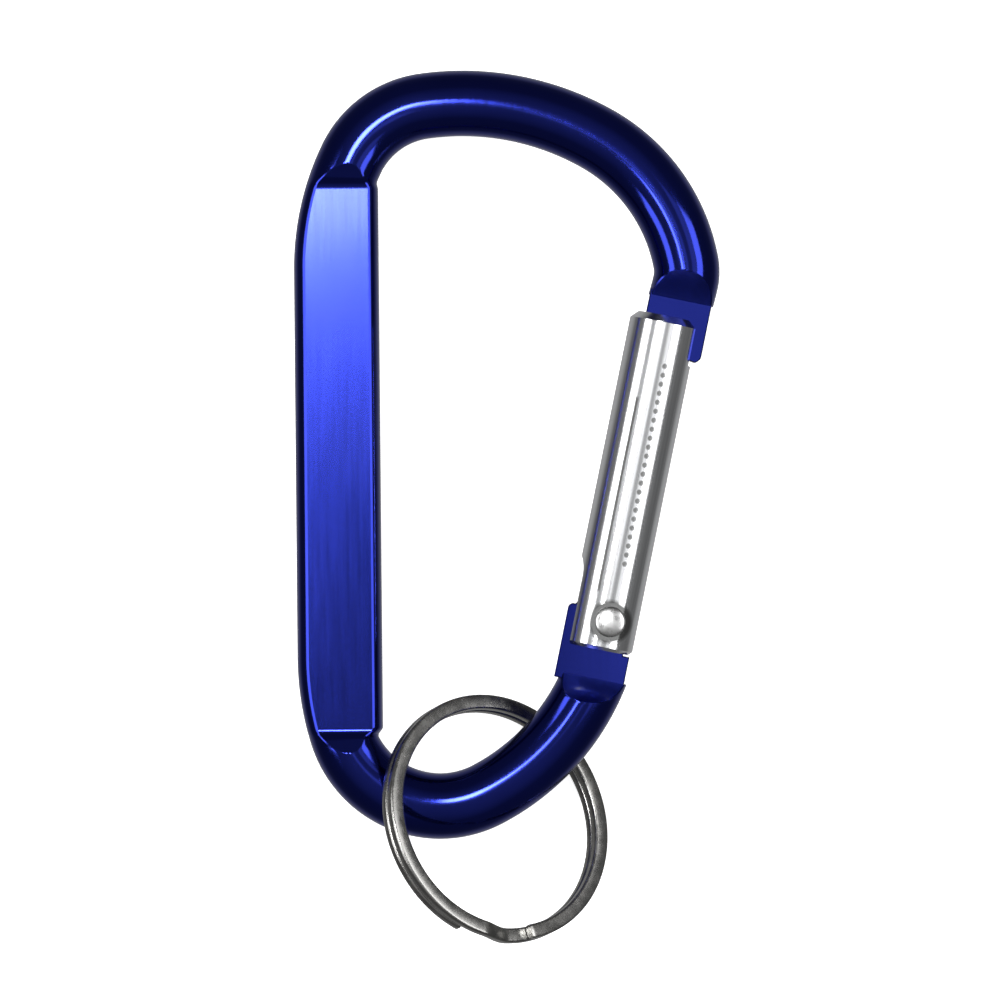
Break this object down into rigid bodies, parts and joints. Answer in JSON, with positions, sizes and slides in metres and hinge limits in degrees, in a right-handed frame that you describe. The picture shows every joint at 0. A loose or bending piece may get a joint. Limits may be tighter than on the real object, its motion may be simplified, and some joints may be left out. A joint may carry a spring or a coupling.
{
  "type": "carabiner key ring",
  "caption": "Bent rod snap clip with a pressed flat spine, a sprung inward-opening gate and a double-turn split ring on its lower bow.",
  "frame": {"origin": "middle of the clip frame's outline, in the middle plane of its rod", "axes": "+X from the spine towards the gate, +Y up the spine to the upper bow, +Z out of the clip's plane"},
  "size_m": [0.042, 0.086, 0.0166],
  "materials": {
    "anodised": "blue anodised, glossy, fine grain on the pressed flats",
    "gate": "plain, bright",
    "rivet": "plain, bright",
    "plunger": "turned",
    "spring": "drawn wire",
    "ring": "nickel plated, slightly dull"
  },
  "bodies": {
    "clip": {"frame": "anodised"},
    "gate": {"gate": "gate", "hinge_rivet": "rivet", "return_spring": "spring"},
    "plunger": {"plunger": "plunger"},
    "ring": {"split_ring": "ring"}
  },
  "joints": [
    {"name": "gate_hinge", "type": "hinge", "parent": "clip", "child": "gate", "pos_m": [0.01, -0.0167, 0], "axis": [0, 0, 1], "range_deg": [0, 38], "stiffness_Nm_per_rad": 0.02, "springref_deg": -28.65},
    {"name": "plunger_slide", "type": "slide", "parent": "gate", "child": "plunger", "axis": [0.2079, 0.9781, 0], "range_m": [0, 0.0012], "deforming": ["return_spring"]},
    {"name": "ring_swing", "type": "hinge", "parent": "clip", "child": "ring", "pos_m": [0.0013, -0.0314, 0], "axis": [0.7902, 0.6129, 0], "range_deg": [-10, 165]}
  ],
  "couplings": [
    {"joint": "plunger_slide", "follows": "gate_hinge", "m_per_rad": 0.0018}
  ]
}
